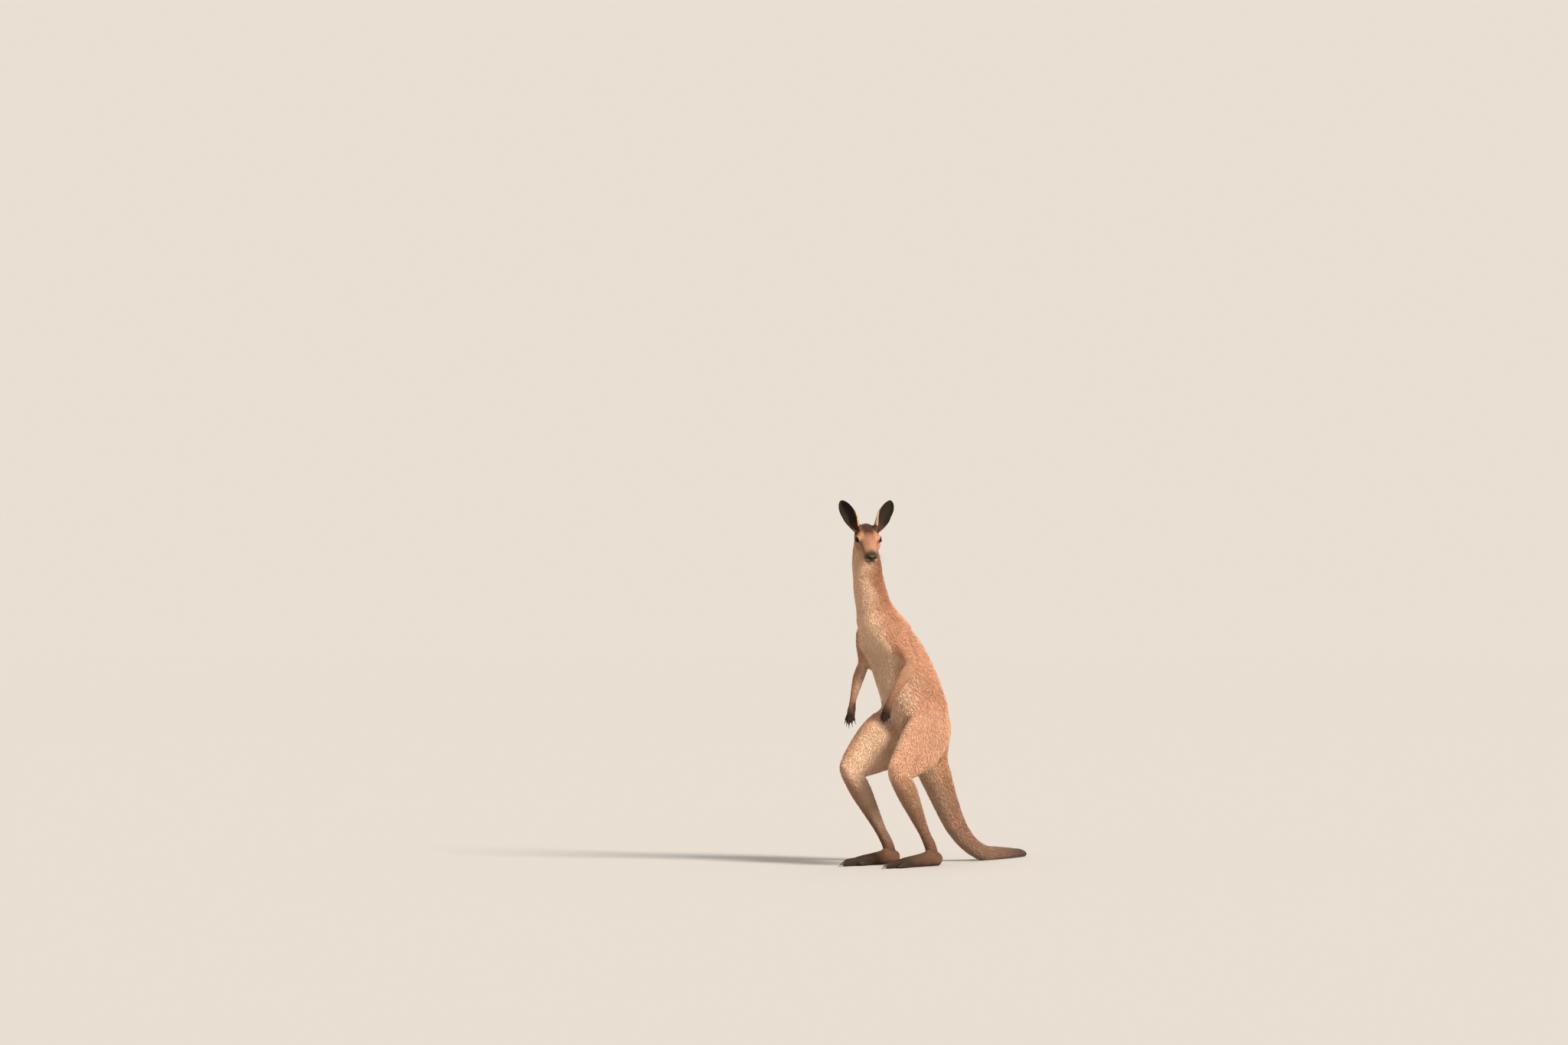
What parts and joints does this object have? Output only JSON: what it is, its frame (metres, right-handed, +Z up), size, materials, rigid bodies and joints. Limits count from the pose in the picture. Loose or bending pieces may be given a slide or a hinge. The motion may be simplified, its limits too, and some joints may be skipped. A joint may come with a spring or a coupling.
{
  "type": "western grey kangaroo",
  "caption": "Grey kangaroo standing alert on its hind feet and tail with its head turned to its left, as a still life-size museum model.",
  "frame": {"origin": "on the floor, under the middle of the bounding box", "axes": "+Z up; the body faces -Y; the animal's left side is +X"},
  "size_m": [0.3356, 1.2278, 1.3643],
  "materials": {
    "coat": "short, soft, dense fur, matt",
    "nose": "moist dark skin with fine short hair",
    "eye": "wet, clear and glossy over dark brown",
    "claw": "dark horn, satin, worn at the tips"
  },
  "bodies": {
    "root": {"trunk": "coat", "neck": "coat", "head": "coat", "tail_base": "coat", "tail_middle": "coat", "tail_end": "coat", "thigh_left": "coat", "shin_left": "coat", "foot_left": "coat", "upper_arm_left": "coat", "forearm_left": "coat", "hand_left": "coat", "ear_left": "coat", "thigh_right": "coat", "shin_right": "coat", "foot_right": "coat", "upper_arm_right": "coat", "forearm_right": "coat", "hand_right": "coat", "ear_right": "coat", "nose": "nose", "eye_left": "eye", "eye_right": "eye", "first_finger_claw_left": "claw", "second_finger_claw_left": "claw", "third_finger_claw_left": "claw", "fourth_finger_claw_left": "claw", "fifth_finger_claw_left": "claw", "first_finger_claw_right": "claw", "second_finger_claw_right": "claw", "third_finger_claw_right": "claw", "fourth_finger_claw_right": "claw", "fifth_finger_claw_right": "claw", "fourth_toe_claw_left": "claw", "fifth_toe_claw_left": "claw", "third_toe_claw_left": "claw", "second_toe_claw_left": "claw", "fourth_toe_claw_right": "claw", "fifth_toe_claw_right": "claw", "third_toe_claw_right": "claw", "second_toe_claw_right": "claw"}
  },
  "joints": []
}
